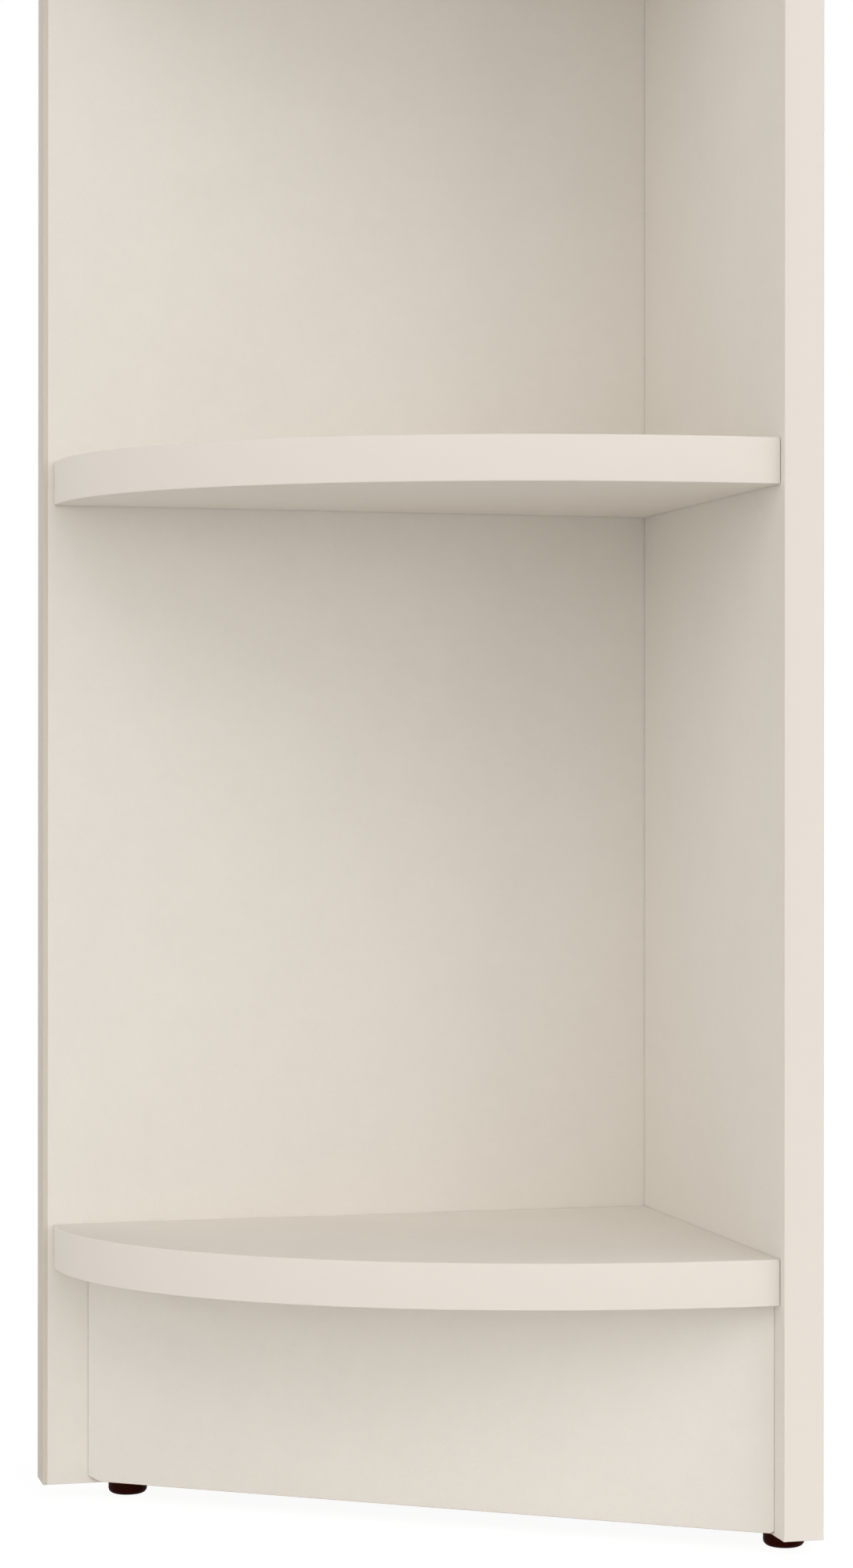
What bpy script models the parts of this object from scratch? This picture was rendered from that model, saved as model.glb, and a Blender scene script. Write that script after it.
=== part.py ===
"""Corner end unit: two tall panels at a right angle, with quarter-ellipse shelves between them.

Metres, +Z up. The origin is at the middle of the footprint, on the floor. The left panel's inner
face looks along -Y and the right panel's inner face looks along -X, so the open front is at the
-X and -Y side. Every shelf is laid out from the inside corner where the two panels meet.
"""

import math

import bmesh
import bpy
from mathutils import Matrix, Vector

# Overall
OVERALL_WIDTH = 0.309            # along X, the left panel with its edge band
OVERALL_DEPTH = 0.211            # along Y, the right panel with its edge band and the left panel behind
PANEL_THICKNESS = 0.018
FOOT_HEIGHT = 0.007              # floor to the panels' lower ends

# Shelves
SHELF_THICKNESS = 0.020
SHELF_SETBACK = 0.005            # shelf ends behind the panels' front ends
FIRST_CLEAR_HEIGHT = 0.332       # inside height of the lowest compartment
UPPER_CLEAR_HEIGHT = 0.268       # inside height of each compartment above it
COMPARTMENTS = 6

# Plinth
PLINTH_HEIGHT = 0.100            # panels' lower ends to the base shelf's underside
PLINTH_THICKNESS = 0.016
PLINTH_SETBACK_LEFT = 0.021      # plinth's front behind the left panel's front end
PLINTH_SETBACK_RIGHT = 0.012     # plinth's front behind the right panel's front end
PLINTH_LIFT = 0.001              # plinth's lower edge above the panels' lower ends
PLINTH_CUT_LEFT = (0.006, 0.0024)    # cut corner at the lower left: along the board, up
PLINTH_CUT_RIGHT = (0.0015, 0.0012)  # cut corner at the lower right
GLUE_BLOCK_LEG = 0.040
GLUE_BLOCK_HEIGHT = 0.060

# Edge bands
PANEL_BAND_THICKNESS = 0.002
PANEL_BAND_RADIUS = 0.0016       # rounding round the outer face of a panel's band
SHELF_BAND_THICKNESS = 0.001
SHELF_BAND_RADIUS = 0.0005       # rounding of the two outer edges of a shelf's band

# Screws: one-piece connectors with a countersunk head and a hexagon socket
SCREW_LENGTH = 0.050
SCREW_HEAD_DIAMETER = 0.010
SCREW_HEAD_TAPER = 0.0025
SCREW_SHANK_DIAMETER = 0.007
SCREW_SHANK_LENGTH = 0.012       # head face to the end of the smooth shank
SCREW_THREAD_DIAMETER = 0.006    # mean of the thread, whose turns are left out
SCREW_TIP_DIAMETER = 0.003
SCREW_TIP_LENGTH = 0.004
SOCKET_ACROSS_FLATS = 0.004
SOCKET_DEPTH = 0.003
SCREW_FROM_CORNER = 0.055        # nearer screw of the left panel, from the inside corner
SCREW_FROM_LEFT_END = 0.080      # farther screw of the left panel, from the shelf's left end
SCREW_FROM_RIGHT_END = 0.060     # screw of the right panel, from the shelf's right end
CORNER_SCREWS = 4
CORNER_SCREW_END = 0.060         # first and last corner screw, from the panels' ends

# Dowels
DOWEL_DIAMETER = 0.008
DOWEL_LENGTH = 0.030
DOWEL_CHAMFER = 0.001
DOWEL_FROM_CORNER = 0.045        # dowel at the right panel, from the inside corner
DOWEL_IN_FACE = 0.010            # how far a dowel goes into the face of a board
PLINTH_DOWEL_END = 0.090         # dowel in the plinth, from the board's end

# Nail-on glides
GLIDE_DIAMETER = 0.018
GLIDE_RADIUS = 0.0025            # rounding round the foot of a glide
GLIDE_FROM_LEFT_FRONT = 0.041    # glide's centre behind the left panel's front end
GLIDE_FROM_RIGHT_FRONT = 0.025   # glide's centre behind the right panel's front end
GLIDE_FROM_CORNER = 0.027        # rear glides, from the inside corner
NAIL_DIAMETER = 0.0025
NAIL_LENGTH = 0.016
NAIL_POINT = 0.003
NAIL_TIP_DIAMETER = 0.0006

# Clearances and fineness
SEAT_GAP = 0.0003                # between pieces that touch
BLIND_HOLE_EXTRA = 0.001         # a blind hole is this much deeper than what it holds
CURVE_STEPS = 24
ARC_STEPS = 2                    # steps in a quarter turn of a small rounding
ROUND_SIDES = 12                 # screws, dowels and their holes; a multiple of six for the socket
GLIDE_SIDES = 24
SMOOTH_ANGLE = 35                # degrees; edges sharper than this are shown sharp
PLANE_TOLERANCE = 1e-7           # a corner this near a cutting plane counts as on it

# Places that follow from the sizes above
LEFT_END = -OVERALL_WIDTH / 2
RIGHT_FACE = OVERALL_WIDTH / 2
FRONT_END = -OVERALL_DEPTH / 2
REAR_FACE = OVERALL_DEPTH / 2
CORNER_X = RIGHT_FACE - PANEL_THICKNESS
CORNER_Y = REAR_FACE - PANEL_THICKNESS
BASE_UNDERSIDE = FOOT_HEIGHT + PLINTH_HEIGHT
SHELF_WIDTH = CORNER_X - LEFT_END - SHELF_SETBACK
SHELF_DEPTH = CORNER_Y - FRONT_END - SHELF_SETBACK


def shelf_undersides():
    """Heights of the undersides of the base shelf, the shelves above it and the top board."""
    heights = [BASE_UNDERSIDE]
    for number in range(COMPARTMENTS):
        clear = FIRST_CLEAR_HEIGHT if number == 0 else UPPER_CLEAR_HEIGHT
        heights.append(heights[-1] + SHELF_THICKNESS + clear)
    return heights


UNDERSIDES = shelf_undersides()
TOP = UNDERSIDES[-1] + SHELF_THICKNESS


def clear_scene():
    for item in list(bpy.data.objects):
        bpy.data.objects.remove(item)


def material(name, colour, roughness, metallic=0.0):
    """A Principled material with one colour."""
    made = bpy.data.materials.new(name)
    made.use_nodes = True
    shader = made.node_tree.nodes["Principled BSDF"]
    shader.inputs["Base Color"].default_value = (*colour, 1.0)
    shader.inputs["Roughness"].default_value = roughness
    shader.inputs["Metallic"].default_value = metallic
    return made


def mesh_object(name, bm, finish=None):
    """Turn a bmesh into a named object, smooth where it is round."""
    bmesh.ops.recalc_face_normals(bm, faces=bm.faces)
    mesh = bpy.data.meshes.new(name)
    bm.to_mesh(mesh)
    bm.free()
    mesh.shade_smooth()
    mesh.set_sharp_from_angle(angle=math.radians(SMOOTH_ANGLE))
    made = bpy.data.objects.new(name, mesh)
    bpy.context.collection.objects.link(made)
    if finish:
        mesh.materials.append(finish)
    return made


def cut(target, cutter_bm):
    """Cut the bodies in a bmesh out of an object with one Boolean."""
    cutter = mesh_object(target.name + "_cutter", cutter_bm)
    cutter.hide_render = True
    cutter.display_type = "WIRE"
    modifier = target.modifiers.new("drilling", "BOOLEAN")
    modifier.operation = "DIFFERENCE"
    modifier.solver = "EXACT"
    modifier.object = cutter


def add_prism(bm, outline, bottom, top):
    """Extrude an outline in plan from one height to another."""
    face = bm.faces.new([bm.verts.new((x, y, bottom)) for x, y in outline])
    raised = bmesh.ops.extrude_face_region(bm, geom=[face])
    corners = [item for item in raised["geom"] if isinstance(item, bmesh.types.BMVert)]
    bmesh.ops.translate(bm, verts=corners, vec=(0, 0, top - bottom))


def add_box(bm, low, high):
    """A box from its lowest corner to its highest."""
    outline = [(low[0], low[1]), (high[0], low[1]), (high[0], high[1]), (low[0], high[1])]
    add_prism(bm, outline, low[2], high[2])


def add_turned(bm, profile, sides, frame, hexagon=()):
    """Turn a profile of (radius, height) about the frame's Z axis, closed flat at both ends.

    Rings whose index is in hexagon become a hexagon with the radius at its corners.
    """
    rings = []
    for index, (radius, height) in enumerate(profile):
        ring = []
        for side in range(sides):
            angle = math.tau * side / sides
            reach = radius
            if index in hexagon:
                off_flat = angle % (math.pi / 3) - math.pi / 6
                reach = radius * math.cos(math.pi / 6) / math.cos(off_flat)
            spot = Vector((reach * math.cos(angle), reach * math.sin(angle), height))
            ring.append(bm.verts.new(frame @ spot))
        rings.append(ring)
    for lower, upper in zip(rings, rings[1:]):
        for side in range(sides):
            after = (side + 1) % sides
            bm.faces.new((lower[side], lower[after], upper[after], upper[side]))
    bm.faces.new(list(reversed(rings[0])))
    bm.faces.new(rings[-1])


def frame_at(spot, direction):
    """A frame whose Z axis points along a direction."""
    turn = Vector(direction).to_track_quat("Z", "Y").to_matrix().to_4x4()
    return Matrix.Translation(spot) @ turn


def arc(centre, radius, start, end, steps):
    """Points of an arc, with its angles in degrees."""
    points = []
    for step in range(steps + 1):
        angle = math.radians(start + (end - start) * step / steps)
        points.append((centre[0] + radius * math.cos(angle), centre[1] + radius * math.sin(angle)))
    return points


def shelf_band_section():
    """Section of a shelf's band: (out of the board, up its edge), rounded on its outer side."""
    radius = SHELF_BAND_RADIUS
    low = arc((-radius, radius), radius, -90, 0, ARC_STEPS)
    high = arc((-radius, SHELF_THICKNESS - radius), radius, 0, 90, ARC_STEPS)
    return [(-SHELF_BAND_THICKNESS, 0.0)] + low + high + [(-SHELF_BAND_THICKNESS, SHELF_THICKNESS)]


def front_curve(inward):
    """Points of the shelf's quarter ellipse and its outward directions, drawn in by a distance."""
    centre = Vector((CORNER_X - SEAT_GAP, CORNER_Y - SEAT_GAP))
    half_x = SHELF_WIDTH - SEAT_GAP
    half_y = SHELF_DEPTH - SEAT_GAP
    curve = []
    for step in range(CURVE_STEPS + 1):
        angle = math.pi / 2 * step / CURVE_STEPS
        outward = Vector((-math.cos(angle) / half_x, -math.sin(angle) / half_y)).normalized()
        spot = centre + Vector((-half_x * math.cos(angle), -half_y * math.sin(angle)))
        curve.append((spot - outward * inward, outward))
    return curve


def screw_profile(depth, shank_end, clearance=0.0):
    """Outside of a screw without its tip, up to its head face at height 0, or of its hole."""
    thread = SCREW_THREAD_DIAMETER / 2 + clearance
    shank = SCREW_SHANK_DIAMETER / 2 + clearance
    head = SCREW_HEAD_DIAMETER / 2 + clearance
    return [(thread, -depth), (thread, -shank_end), (shank, -shank_end),
            (shank, -SCREW_HEAD_TAPER), (head, 0.0)]


def add_screw(bm):
    """A screw with its head face at the origin, pointing down, and a hexagon socket in its head."""
    outside = screw_profile(SCREW_LENGTH - SCREW_TIP_LENGTH, SCREW_SHANK_LENGTH)
    socket = SOCKET_ACROSS_FLATS / math.sqrt(3)
    profile = [(SCREW_TIP_DIAMETER / 2, -SCREW_LENGTH)] + outside
    profile += [(socket, 0.0), (socket, -SOCKET_DEPTH)]
    hexagon = (len(profile) - 2, len(profile) - 1)
    add_turned(bm, profile, ROUND_SIDES, Matrix.Identity(4), hexagon)


def add_screw_hole(bm, head_spot, direction):
    """Room for a screw whose head face is at a spot and whose head looks along a direction.

    The hole is wide through the panel and narrow in the board behind it, with the step between them.
    """
    panel_end = PANEL_THICKNESS - SEAT_GAP / 2
    hole = screw_profile(SCREW_LENGTH + BLIND_HOLE_EXTRA, panel_end, SEAT_GAP)
    hole.append((hole[-1][0], 2 * SEAT_GAP))
    add_turned(bm, hole, ROUND_SIDES, frame_at(head_spot, direction))


def add_dowel_hole(bm, spot, direction, low, high):
    """Room for a dowel from one distance to another along a direction."""
    radius = DOWEL_DIAMETER / 2 + SEAT_GAP
    add_turned(bm, [(radius, low), (radius, high)], ROUND_SIDES, frame_at(spot, direction))


def shelf_names():
    middle = [f"shelf_{number}" for number in range(2, COMPARTMENTS + 1)]
    return ["base_shelf"] + middle + ["top_board"]


def shelf_screws(underside):
    """Head spots and directions of the screws that hold one shelf, by name."""
    level = underside + SHELF_THICKNESS / 2
    sunk = SEAT_GAP
    far_x = CORNER_X - SHELF_WIDTH + SCREW_FROM_LEFT_END
    near_x = CORNER_X - SCREW_FROM_CORNER
    right_y = CORNER_Y - SHELF_DEPTH + SCREW_FROM_RIGHT_END
    return {
        "screw_left_front": (Vector((far_x, REAR_FACE - sunk, level)), Vector((0, 1, 0))),
        "screw_left_rear": (Vector((near_x, REAR_FACE - sunk, level)), Vector((0, 1, 0))),
        "screw_right": (Vector((RIGHT_FACE - sunk, right_y, level)), Vector((1, 0, 0))),
    }


def corner_screws():
    """Head spots of the screws through the left panel into the right panel's rear edge."""
    first = FOOT_HEIGHT + CORNER_SCREW_END
    step = (TOP - CORNER_SCREW_END - first) / (CORNER_SCREWS - 1)
    x = CORNER_X + PANEL_THICKNESS / 2
    return [Vector((x, REAR_FACE - SEAT_GAP, first + step * number)) for number in range(CORNER_SCREWS)]


def shelf_dowel_spot(underside):
    """Where a shelf's dowel crosses the right panel's inner face."""
    return Vector((CORNER_X, CORNER_Y - DOWEL_FROM_CORNER, underside + SHELF_THICKNESS / 2))


def glide_spots():
    """Centres of the glides on the panels' lower ends, by name."""
    left_y = CORNER_Y + PANEL_THICKNESS / 2
    right_x = CORNER_X + PANEL_THICKNESS / 2
    return {
        "glide_left_front": Vector((LEFT_END + GLIDE_FROM_LEFT_FRONT, left_y, 0)),
        "glide_left_rear": Vector((CORNER_X - GLIDE_FROM_CORNER, left_y, 0)),
        "glide_right_front": Vector((right_x, FRONT_END + GLIDE_FROM_RIGHT_FRONT, 0)),
        "glide_right_rear": Vector((right_x, CORNER_Y - GLIDE_FROM_CORNER, 0)),
    }


def plinth_line():
    """Front corners of the plinth board, its direction and the direction to its rear."""
    start = Vector((LEFT_END + PLINTH_SETBACK_LEFT, CORNER_Y - SEAT_GAP))
    end = Vector((CORNER_X - SEAT_GAP, FRONT_END + PLINTH_SETBACK_RIGHT))
    along = (end - start).normalized()
    inward = Vector((-along.y, along.x))
    return start, end, along, inward


def plinth_dowel_spots():
    """Middles of the plinth's upper edge where its dowels stand, by name."""
    start, end, along, inward = plinth_line()
    middle = inward * PLINTH_THICKNESS / 2
    left = start + along * PLINTH_DOWEL_END + middle
    right = end - along * PLINTH_DOWEL_END + middle
    return {
        "plinth_dowel_left": Vector((left.x, left.y, BASE_UNDERSIDE)),
        "plinth_dowel_right": Vector((right.x, right.y, BASE_UNDERSIDE)),
    }


def add_nail_hole(bm, spot):
    radius = NAIL_DIAMETER / 2 + SEAT_GAP
    low = FOOT_HEIGHT - BLIND_HOLE_EXTRA
    high = FOOT_HEIGHT + NAIL_LENGTH + BLIND_HOLE_EXTRA
    add_turned(bm, [(radius, low), (radius, high)], ROUND_SIDES, Matrix.Translation(spot))


def make_left_panel(finish):
    bm = bmesh.new()
    front = LEFT_END + PANEL_BAND_THICKNESS + SEAT_GAP
    add_box(bm, (front, CORNER_Y, FOOT_HEIGHT), (RIGHT_FACE, REAR_FACE, TOP))
    panel = mesh_object("left_panel", bm, finish)
    holes = bmesh.new()
    for underside in UNDERSIDES:
        for name, (spot, direction) in shelf_screws(underside).items():
            if name.startswith("screw_left"):
                add_screw_hole(holes, spot, direction)
    for spot in corner_screws():
        add_screw_hole(holes, spot, (0, 1, 0))
    for name, spot in glide_spots().items():
        if name.startswith("glide_left"):
            add_nail_hole(holes, spot)
    cut(panel, holes)


def make_right_panel(finish):
    bm = bmesh.new()
    front = FRONT_END + PANEL_BAND_THICKNESS + SEAT_GAP
    add_box(bm, (CORNER_X, front, FOOT_HEIGHT), (RIGHT_FACE, CORNER_Y - SEAT_GAP, TOP))
    panel = mesh_object("right_panel", bm, finish)
    holes = bmesh.new()
    for underside in UNDERSIDES:
        add_screw_hole(holes, *shelf_screws(underside)["screw_right"])
        spot = shelf_dowel_spot(underside)
        add_dowel_hole(holes, spot, (1, 0, 0), -BLIND_HOLE_EXTRA, DOWEL_IN_FACE + BLIND_HOLE_EXTRA)
    for spot in corner_screws():
        add_screw_hole(holes, spot, (0, 1, 0))
    for name, spot in glide_spots().items():
        if name.startswith("glide_right"):
            add_nail_hole(holes, spot)
    cut(panel, holes)


def make_panel_band(name, low, high, outward, finish):
    """Straight edge band: a thin strip with every edge of its outer face rounded."""
    bm = bmesh.new()
    add_box(bm, low, high)
    bm.normal_update()
    outer = max(bm.faces, key=lambda face: face.calc_center_median().dot(Vector(outward)))
    bmesh.ops.bevel(bm, geom=list(outer.edges), offset=PANEL_BAND_RADIUS, segments=ARC_STEPS,
                    profile=0.5, affect="EDGES")
    mesh_object(name, bm, finish)


def make_panel_bands(finish):
    low = (LEFT_END, CORNER_Y, FOOT_HEIGHT)
    high = (LEFT_END + PANEL_BAND_THICKNESS, REAR_FACE, TOP)
    make_panel_band("left_panel_edge_band", low, high, (-1, 0, 0), finish)
    low = (CORNER_X, FRONT_END, FOOT_HEIGHT)
    high = (RIGHT_FACE, FRONT_END + PANEL_BAND_THICKNESS, TOP)
    make_panel_band("right_panel_edge_band", low, high, (0, -1, 0), finish)


def make_shelf(name, underside, finish):
    """A shelf: the quarter ellipse inside its edge band, drilled for its screws and dowel."""
    bm = bmesh.new()
    outline = [(CORNER_X - SEAT_GAP, CORNER_Y - SEAT_GAP)]
    outline += [tuple(spot) for spot, outward in front_curve(SHELF_BAND_THICKNESS + SEAT_GAP)]
    add_prism(bm, outline, underside, underside + SHELF_THICKNESS)
    shelf = mesh_object(name, bm, finish)
    holes = bmesh.new()
    for spot, direction in shelf_screws(underside).values():
        add_screw_hole(holes, spot, direction)
    spot = shelf_dowel_spot(underside)
    into_edge = DOWEL_LENGTH - DOWEL_IN_FACE + BLIND_HOLE_EXTRA
    add_dowel_hole(holes, spot, (1, 0, 0), -into_edge, BLIND_HOLE_EXTRA)
    if underside == BASE_UNDERSIDE:
        for spot in plinth_dowel_spots().values():
            add_dowel_hole(holes, spot, (0, 0, 1), -BLIND_HOLE_EXTRA, DOWEL_IN_FACE + BLIND_HOLE_EXTRA)
    cut(shelf, holes)


def make_shelf_band(name, underside, finish):
    """Curved edge band: the band's section carried along the quarter ellipse."""
    bm = bmesh.new()
    section = shelf_band_section()
    rings = []
    for spot, outward in front_curve(0.0):
        ring = []
        for out, along in section:
            place = spot + outward * out
            ring.append(bm.verts.new((place.x, place.y, underside + along)))
        rings.append(ring)
    count = len(section)
    for here, there in zip(rings, rings[1:]):
        for number in range(count):
            after = (number + 1) % count
            bm.faces.new((here[number], here[after], there[after], there[number]))
    bm.faces.new(rings[0])
    bm.faces.new(list(reversed(rings[-1])))
    mesh_object(name, bm, finish)


def make_plinth(finish):
    """Plinth board: outlined on its front face, mitred to both panels, drilled for its dowels."""
    start, end, along, inward = plinth_line()
    length = (end - start).length
    low = FOOT_HEIGHT + PLINTH_LIFT
    high = BASE_UNDERSIDE - SEAT_GAP
    outline = [(0, low + PLINTH_CUT_LEFT[1]), (PLINTH_CUT_LEFT[0], low)]
    outline += [(length - PLINTH_CUT_RIGHT[0], low), (length, low + PLINTH_CUT_RIGHT[1])]
    outline += [(length, high), (0, high)]
    bm = bmesh.new()
    face = bm.faces.new([
        bm.verts.new((start.x + along.x * across, start.y + along.y * across, height))
        for across, height in outline
    ])
    raised = bmesh.ops.extrude_face_region(bm, geom=[face])
    rear = [item for item in raised["geom"] if isinstance(item, bmesh.types.BMVert)]
    step = inward * PLINTH_THICKNESS
    bmesh.ops.translate(bm, verts=rear, vec=(step.x, step.y, 0))
    mitre_planes = {
        (0, CORNER_Y - SEAT_GAP, 0): (0, 1, 0),
        (CORNER_X - SEAT_GAP, 0, 0): (1, 0, 0),
    }
    for spot, outward in mitre_planes.items():
        everything = list(bm.verts) + list(bm.edges) + list(bm.faces)
        parted = bmesh.ops.bisect_plane(bm, geom=everything, dist=PLANE_TOLERANCE, plane_co=spot,
                                        plane_no=outward, clear_outer=True)
        rim = [item for item in parted["geom_cut"] if isinstance(item, bmesh.types.BMEdge)]
        bmesh.ops.holes_fill(bm, edges=rim)
    plinth = mesh_object("plinth_board", bm, finish)
    holes = bmesh.new()
    into_edge = DOWEL_LENGTH - DOWEL_IN_FACE + BLIND_HOLE_EXTRA
    for spot in plinth_dowel_spots().values():
        add_dowel_hole(holes, spot, (0, 0, 1), -into_edge, BLIND_HOLE_EXTRA)
    cut(plinth, holes)


def make_glue_blocks(finish):
    """A triangular block in each corner behind the plinth board."""
    start, end, along, inward = plinth_line()
    setback = PLINTH_THICKNESS + SEAT_GAP
    top = BASE_UNDERSIDE - SEAT_GAP
    rear = start + inward * setback
    left = rear - along * ((rear.y - start.y) / along.y)
    right = rear + along * ((end.x - rear.x) / along.x)
    corners = {
        "plinth_block_left": (left, Vector((1, 0)), along),
        "plinth_block_right": (right, Vector((0, 1)), -along),
    }
    for name, (corner, along_panel, along_plinth) in corners.items():
        bm = bmesh.new()
        outline = [corner, corner + along_panel * GLUE_BLOCK_LEG, corner + along_plinth * GLUE_BLOCK_LEG]
        add_prism(bm, [tuple(spot) for spot in outline], top - GLUE_BLOCK_HEIGHT, top)
        mesh_object(name, bm, finish)


def make_screws(finish):
    """Every screw shares one mesh."""
    bm = bmesh.new()
    add_screw(bm)
    pattern = mesh_object("screw_pattern", bm, finish)
    mesh = pattern.data
    bpy.data.objects.remove(pattern)
    places = {}
    for shelf, underside in zip(shelf_names(), UNDERSIDES):
        for name, place in shelf_screws(underside).items():
            places[f"{shelf}_{name}"] = place
    for number, spot in enumerate(corner_screws(), start=1):
        places[f"corner_screw_{number}"] = (spot, Vector((0, 1, 0)))
    for name, (spot, direction) in places.items():
        screw = bpy.data.objects.new(name, mesh)
        screw.matrix_world = frame_at(spot, direction)
        bpy.context.collection.objects.link(screw)


def make_dowels(finish):
    """Every dowel shares one mesh, which starts DOWEL_IN_FACE deep in the board it is glued into."""
    bm = bmesh.new()
    radius = DOWEL_DIAMETER / 2
    low = DOWEL_IN_FACE - DOWEL_LENGTH
    profile = [(radius - DOWEL_CHAMFER, low), (radius, low + DOWEL_CHAMFER)]
    profile += [(radius, DOWEL_IN_FACE - DOWEL_CHAMFER), (radius - DOWEL_CHAMFER, DOWEL_IN_FACE)]
    add_turned(bm, profile, ROUND_SIDES, Matrix.Identity(4))
    pattern = mesh_object("dowel_pattern", bm, finish)
    mesh = pattern.data
    bpy.data.objects.remove(pattern)
    places = {}
    for shelf, underside in zip(shelf_names(), UNDERSIDES):
        places[f"{shelf}_dowel"] = (shelf_dowel_spot(underside), (1, 0, 0))
    for name, spot in plinth_dowel_spots().items():
        places[name] = (spot, (0, 0, 1))
    for name, (spot, direction) in places.items():
        dowel = bpy.data.objects.new(name, mesh)
        dowel.matrix_world = frame_at(spot, direction)
        bpy.context.collection.objects.link(dowel)


def make_glides(finish):
    """Nail-on glides: a round foot with a rounded lower edge and its nail."""
    radius = GLIDE_DIAMETER / 2
    top = FOOT_HEIGHT - SEAT_GAP
    nail = NAIL_DIAMETER / 2
    foot = arc((radius - GLIDE_RADIUS, GLIDE_RADIUS), GLIDE_RADIUS, -90, 0, 2 * ARC_STEPS)
    profile = foot + [(radius, top), (nail, top), (nail, top + NAIL_LENGTH - NAIL_POINT)]
    profile += [(NAIL_TIP_DIAMETER / 2, top + NAIL_LENGTH)]
    for name, spot in glide_spots().items():
        bm = bmesh.new()
        add_turned(bm, profile, GLIDE_SIDES, Matrix.Identity(4))
        glide = mesh_object(name, bm, finish)
        glide.location = spot


def build():
    clear_scene()
    board = material("melamine_board", (0.74, 0.69, 0.61), 0.45)
    band = material("edge_band_plastic", (0.74, 0.69, 0.61), 0.4)
    steel = material("zinc_plated_steel", (0.6, 0.6, 0.58), 0.35, 1.0)
    beech = material("beech", (0.62, 0.45, 0.28), 0.6)
    brown_plastic = material("dark_brown_plastic", (0.02, 0.008, 0.005), 0.4)
    make_left_panel(board)
    make_right_panel(board)
    make_panel_bands(band)
    for name, underside in zip(shelf_names(), UNDERSIDES):
        make_shelf(name, underside, board)
        make_shelf_band(name + "_edge_band", underside, band)
    make_plinth(board)
    make_glue_blocks(beech)
    make_screws(steel)
    make_dowels(beech)
    make_glides(brown_plastic)


build()
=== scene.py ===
# %% [markdown]
# # A shelf end unit
#
# The real object is a tall open unit that closes a row of shelving: two upright boards meet at a
# right angle, and quarter-ellipse shelves span the corner between them. The boards are
# melamine-faced chipboard with plastic edge bands, the hardware is zinc-plated steel, and it
# stands on four dark nail-on glides.
#
# The construction is fixed already. This file loads it as a frame, makes the finer meshes that
# show in a picture, gives every surface its material, and sets the stage, the lamps and the camera.

# %% Load the fixed frame
import math

import bmesh
import bpy
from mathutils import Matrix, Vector


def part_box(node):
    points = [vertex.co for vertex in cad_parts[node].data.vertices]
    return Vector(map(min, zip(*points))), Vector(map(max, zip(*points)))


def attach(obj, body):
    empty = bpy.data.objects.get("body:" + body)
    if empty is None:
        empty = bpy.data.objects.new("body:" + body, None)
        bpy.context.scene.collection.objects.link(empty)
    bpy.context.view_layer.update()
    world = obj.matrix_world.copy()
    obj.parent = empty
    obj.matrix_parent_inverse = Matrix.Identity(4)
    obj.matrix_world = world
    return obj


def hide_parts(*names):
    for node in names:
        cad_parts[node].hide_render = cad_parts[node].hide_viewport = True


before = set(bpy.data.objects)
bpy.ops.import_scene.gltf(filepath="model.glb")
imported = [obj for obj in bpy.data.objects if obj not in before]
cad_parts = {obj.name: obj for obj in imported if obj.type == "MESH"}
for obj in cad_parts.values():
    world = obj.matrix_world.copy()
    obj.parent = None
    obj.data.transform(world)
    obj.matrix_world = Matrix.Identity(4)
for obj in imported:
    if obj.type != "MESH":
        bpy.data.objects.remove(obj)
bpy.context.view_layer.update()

MM = 0.001


def in_mm(lengths):
    return [round(length / MM, 1) for length in lengths]


# %% [markdown]
# ## Sizes
#
# Nearly every size is read from the frame, so that a finer mesh sits exactly where its plain solid
# is. A node's box gives its lowest and highest corners in metres. Only what a box can't tell is
# written here: how thin the shelves' bands are, how fine the roundings are drawn, and how close a
# glued band sits to its board.

# %% Where the boards are
SHELVES = ["base_shelf", "shelf_2", "shelf_3", "shelf_4", "shelf_5", "shelf_6", "top_board"]
SHELF_BAND_THICKNESS = 1.0 * MM
SHELF_BAND_RADIUS = 0.5 * MM
PANEL_BAND_RADIUS = 0.4 * MM
HAIRLINE = 0.03 * MM             # a glued joint
EDGE_BREAK = 0.15 * MM           # a sawn edge is never knife-sharp
MERGE_DISTANCE = 0.001 * MM      # corners closer than this are one
CURVE_STEPS = 96                 # along the quarter ellipse
ROUNDING_STEPS = 6               # round a band's outer edges
ROUND_SIDES = 48                 # round screws, holes and glides

left_low, left_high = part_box("left_panel")
right_low, right_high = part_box("right_panel")
PANEL_THICKNESS = left_high.y - left_low.y
print("inside corner at", in_mm((right_low.x, left_low.y, left_low.z)), "mm")

# %% [markdown]
# ## Helpers for node trees
#
# A material and a Geometry Nodes tree are both built from nodes, settings and links. One function
# fills a node's inputs, with plain values or other nodes' outputs, and another adds a node. A third
# turns a colour as it is written on screens, sRGB hex, into the linear numbers that shaders work in,
# and the last starts a material. A few nodes have an input of the same name for each kind of data, so
# those go by their number, and the numbers get names.

# %% Add a node, read a colour, and start a material
VECTOR_A, VECTOR_B = 4, 5        # a Mix node's inputs
COLOUR_A, COLOUR_B = 6, 7
MIXED_VECTOR, MIXED_COLOUR = 1, 2  # and its outputs


def fill(tree, node, inputs):
    """Give a node's inputs their values, or their links."""
    for key, value in inputs.items():
        if isinstance(value, bpy.types.NodeSocket):
            tree.links.new(value, node.inputs[key])
        else:
            node.inputs[key].default_value = value


def add(tree, kind, inputs=None, **settings):
    """Add a node, set its settings and fill its inputs."""
    node = tree.nodes.new(kind)
    for name, value in settings.items():
        setattr(node, name, value)
    fill(tree, node, inputs or {})
    return node


def srgb(code):
    """Linear red, green, blue and alpha of an sRGB hex colour."""
    parts = [int(code[start:start + 2], 16) / 255 for start in (1, 3, 5)]
    linear = [part / 12.92 if part <= 0.04045 else ((part + 0.055) / 1.055) ** 2.4 for part in parts]
    return (*linear, 1.0)


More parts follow.
